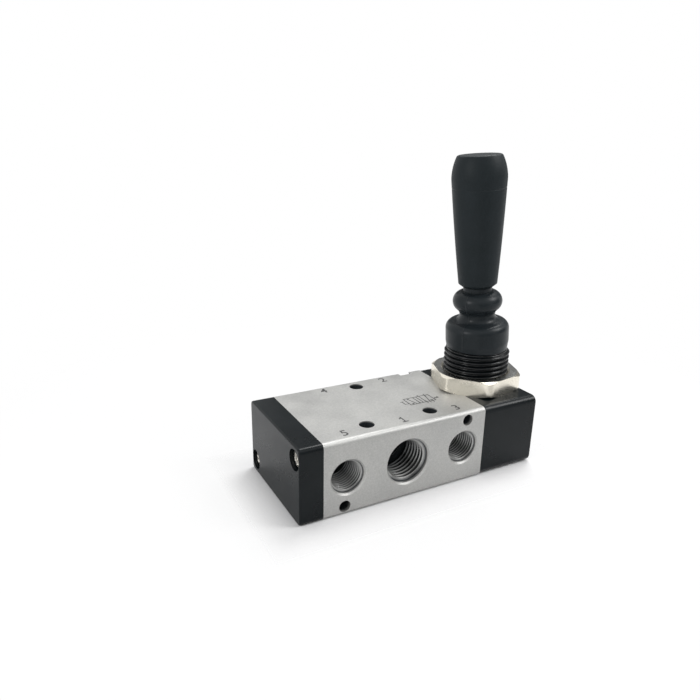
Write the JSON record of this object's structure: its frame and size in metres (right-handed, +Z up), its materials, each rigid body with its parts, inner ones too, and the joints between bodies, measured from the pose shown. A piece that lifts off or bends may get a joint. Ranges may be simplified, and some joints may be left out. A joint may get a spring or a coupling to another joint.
{
  "type": "hand lever air valve",
  "caption": "Five port spool valve in a flat aluminium bar, worked by a leaning hand lever on a ball pivot with a rubber boot, panel nut and black end pieces.",
  "frame": {"origin": "centre of the aluminium body's bottom face, under the supply port's axis", "axes": "+X along the spool from the end cap to the lever housing, -Y out of the front face with the supply and exhaust ports, +Z up the lever"},
  "size_m": [0.0827, 0.035, 0.0923],
  "materials": {
    "blasted_aluminium": "fine bead blasted and clear anodised",
    "black_housing": "satin moulded black, glass filled",
    "nut_nickel": "nickel plated, bright",
    "black_thread": "gloss black over a cut thread",
    "boot_rubber": "semi gloss moulded rubber",
    "grip_plastic": "matte moulded black",
    "screw_steel": "nickel plated",
    "rod_steel": "turned and polished",
    "spring_steel": "hardened",
    "seat_plastic": "natural acetal",
    "seal_rubber": "nitrile rubber",
    "insert_brass": "turned",
    "spool_aluminium": "hard anodised"
  },
  "bodies": {
    "valve_frame": {"valve_body": "blasted_aluminium", "end_cap": "black_housing", "end_cap_seal": "seal_rubber", "end_cap_screws": "screw_steel", "lever_housing": "black_housing", "housing_seal": "seal_rubber", "housing_screws": "screw_steel", "threaded_collar": "black_thread", "panel_nut": "nut_nickel", "lower_pivot_seat": "seat_plastic", "upper_pivot_seat": "seat_plastic", "pivot_retaining_ring": "spring_steel", "dust_boot": "boot_rubber", "detent_ball": "spring_steel", "detent_spring": "spring_steel"},
    "hand_lever": {"lever_rod": "rod_steel", "handle_grip": "grip_plastic", "handle_insert": "insert_brass"},
    "spool_assembly": {"spool": "spool_aluminium", "spool_seal_1": "seal_rubber", "spool_seal_2": "seal_rubber", "spool_seal_3": "seal_rubber", "spool_seal_4": "seal_rubber", "spool_seal_5": "seal_rubber", "spool_seal_6": "seal_rubber"}
  },
  "joints": [
    {"name": "lever_swing", "type": "hinge", "parent": "valve_frame", "child": "hand_lever", "pos_m": [0.0356, 0, 0.033], "axis": [0, 1, 0], "range_deg": [0, 10], "deforming": ["dust_boot"]},
    {"name": "spool_slide", "type": "slide", "parent": "valve_frame", "child": "spool_assembly", "axis": [1, 0, 0], "range_m": [-0.00384, 0]}
  ],
  "couplings": [
    {"joint": "spool_slide", "follows": "lever_swing", "m_per_rad": -0.021972}
  ]
}
